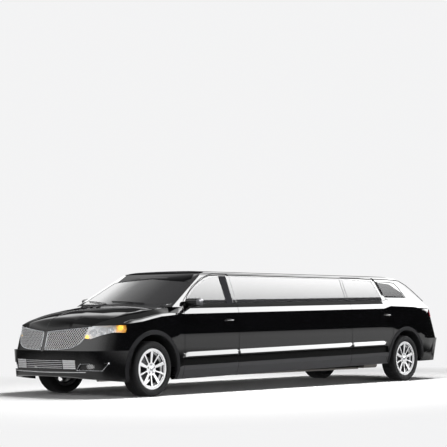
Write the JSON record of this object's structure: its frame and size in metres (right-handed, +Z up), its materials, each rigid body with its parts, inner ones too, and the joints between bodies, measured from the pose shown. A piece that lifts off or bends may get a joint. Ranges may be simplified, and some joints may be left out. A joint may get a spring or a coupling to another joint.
{
  "type": "stretch limousine",
  "caption": "Long gloss-black luxury car with a stretched middle, hinged doors, hood and tailgate, steered front wheels, and a lounge cabin behind the driver.",
  "frame": {"origin": "on the ground, under the middle of the bounding box", "axes": "+X points forward, +Y to the vehicle's left, +Z up"},
  "size_m": [8.423, 2.21, 1.712],
  "materials": {
    "body_paint": "gloss",
    "bright_trim": "polished",
    "polished_alloy": "polished",
    "tyre_rubber": "matte",
    "window_glass": "tinted",
    "lamp_lens": "clear",
    "red_lens": "translucent",
    "chassis_steel": "satin",
    "liner_plastic": "matte",
    "engine_metal": "cast",
    "radiator_metal": "matte",
    "exhaust_steel": "brushed",
    "trim_plastic": "grained",
    "seat_leather": "semi-matte",
    "cabinet_wood": "lacquered"
  },
  "bodies": {
    "body": {"cowl": "body_paint", "fenders": "body_paint", "headlamps": "lamp_lens", "upper_grille": "bright_trim", "lower_grille": "bright_trim", "front_bumper": "body_paint", "fog_lamps": "lamp_lens", "side_panels": "body_paint", "side_windows": "window_glass", "roof": "body_paint", "windshield": "window_glass", "tail_lamps": "red_lens", "rear_bumper": "body_paint", "front_subframe": "chassis_steel", "rear_subframe": "chassis_steel", "floor_pan": "chassis_steel", "wheel_liners": "liner_plastic", "engine": "engine_metal", "radiator": "radiator_metal", "exhaust": "exhaust_steel", "dashboard": "trim_plastic", "steering_wheel": "seat_leather", "front_seats": "seat_leather", "partition": "cabinet_wood", "lounge_seats": "seat_leather", "bar_cabinet": "cabinet_wood"},
    "hood": {"hood": "body_paint"},
    "tailgate": {"tailgate": "body_paint", "tailgate_lamp": "red_lens", "tailgate_glass": "window_glass"},
    "front_left_door": {"door_front_left": "body_paint", "door_glass_front_left": "window_glass", "mirror_left": "body_paint"},
    "rear_left_door": {"door_rear_left": "body_paint", "door_glass_rear_left": "window_glass"},
    "left_knuckle": {"knuckle_left": "chassis_steel"},
    "front_left_wheel": {"rim_front_left": "polished_alloy", "tyre_front_left": "tyre_rubber"},
    "rear_left_wheel": {"rim_rear_left": "polished_alloy", "tyre_rear_left": "tyre_rubber"},
    "front_right_door": {"door_front_right": "body_paint", "door_glass_front_right": "window_glass", "mirror_right": "body_paint"},
    "rear_right_door": {"door_rear_right": "body_paint", "door_glass_rear_right": "window_glass"},
    "right_knuckle": {"knuckle_right": "chassis_steel"},
    "front_right_wheel": {"rim_front_right": "polished_alloy", "tyre_front_right": "tyre_rubber"},
    "rear_right_wheel": {"rim_rear_right": "polished_alloy", "tyre_rear_right": "tyre_rubber"}
  },
  "joints": [
    {"name": "left_front_door_hinge", "type": "hinge", "parent": "body", "child": "front_left_door", "pos_m": [2.478, 0.966, 0.75], "axis": [0, 0, -1], "range_deg": [0, 65]},
    {"name": "left_rear_door_hinge", "type": "hinge", "parent": "body", "child": "rear_left_door", "pos_m": [-1.432, 0.966, 0.85], "axis": [0, 0, -1], "range_deg": [0, 65]},
    {"name": "right_front_door_hinge", "type": "hinge", "parent": "body", "child": "front_right_door", "pos_m": [2.478, -0.966, 0.75], "axis": [0, 0, 1], "range_deg": [0, 65]},
    {"name": "right_rear_door_hinge", "type": "hinge", "parent": "body", "child": "rear_right_door", "pos_m": [-1.432, -0.966, 0.85], "axis": [0, 0, 1], "range_deg": [0, 65]},
    {"name": "hood_hinge", "type": "hinge", "parent": "body", "child": "hood", "pos_m": [2.9315, 0, 1.206], "axis": [0, -1, 0], "range_deg": [0, 55]},
    {"name": "tailgate_hinge", "type": "hinge", "parent": "body", "child": "tailgate", "pos_m": [-3.0785, 0, 1.656], "axis": [0, 1, 0], "range_deg": [0, 75]},
    {"name": "left_steering", "type": "hinge", "parent": "body", "child": "left_knuckle", "pos_m": [3.0815, 0.745, 0.3685], "axis": [0, 0, 1], "range_deg": [-35, 35]},
    {"name": "right_steering", "type": "hinge", "parent": "body", "child": "right_knuckle", "pos_m": [3.0815, -0.745, 0.3685], "axis": [0, 0, 1], "range_deg": [-35, 35]},
    {"name": "front_left_wheel_spin", "type": "hinge", "parent": "left_knuckle", "child": "front_left_wheel", "pos_m": [3.0815, 0.815, 0.3685], "axis": [0, 1, 0], "continuous": true},
    {"name": "rear_left_wheel_spin", "type": "hinge", "parent": "body", "child": "rear_left_wheel", "pos_m": [-2.9615, 0.815, 0.3685], "axis": [0, 1, 0], "continuous": true},
    {"name": "front_right_wheel_spin", "type": "hinge", "parent": "right_knuckle", "child": "front_right_wheel", "pos_m": [3.0815, -0.815, 0.3685], "axis": [0, 1, 0], "continuous": true},
    {"name": "rear_right_wheel_spin", "type": "hinge", "parent": "body", "child": "rear_right_wheel", "pos_m": [-2.9615, -0.815, 0.3685], "axis": [0, 1, 0], "continuous": true}
  ],
  "couplings": [
    {"joint": "right_steering", "follows": "left_steering", "ratio": 1}
  ]
}
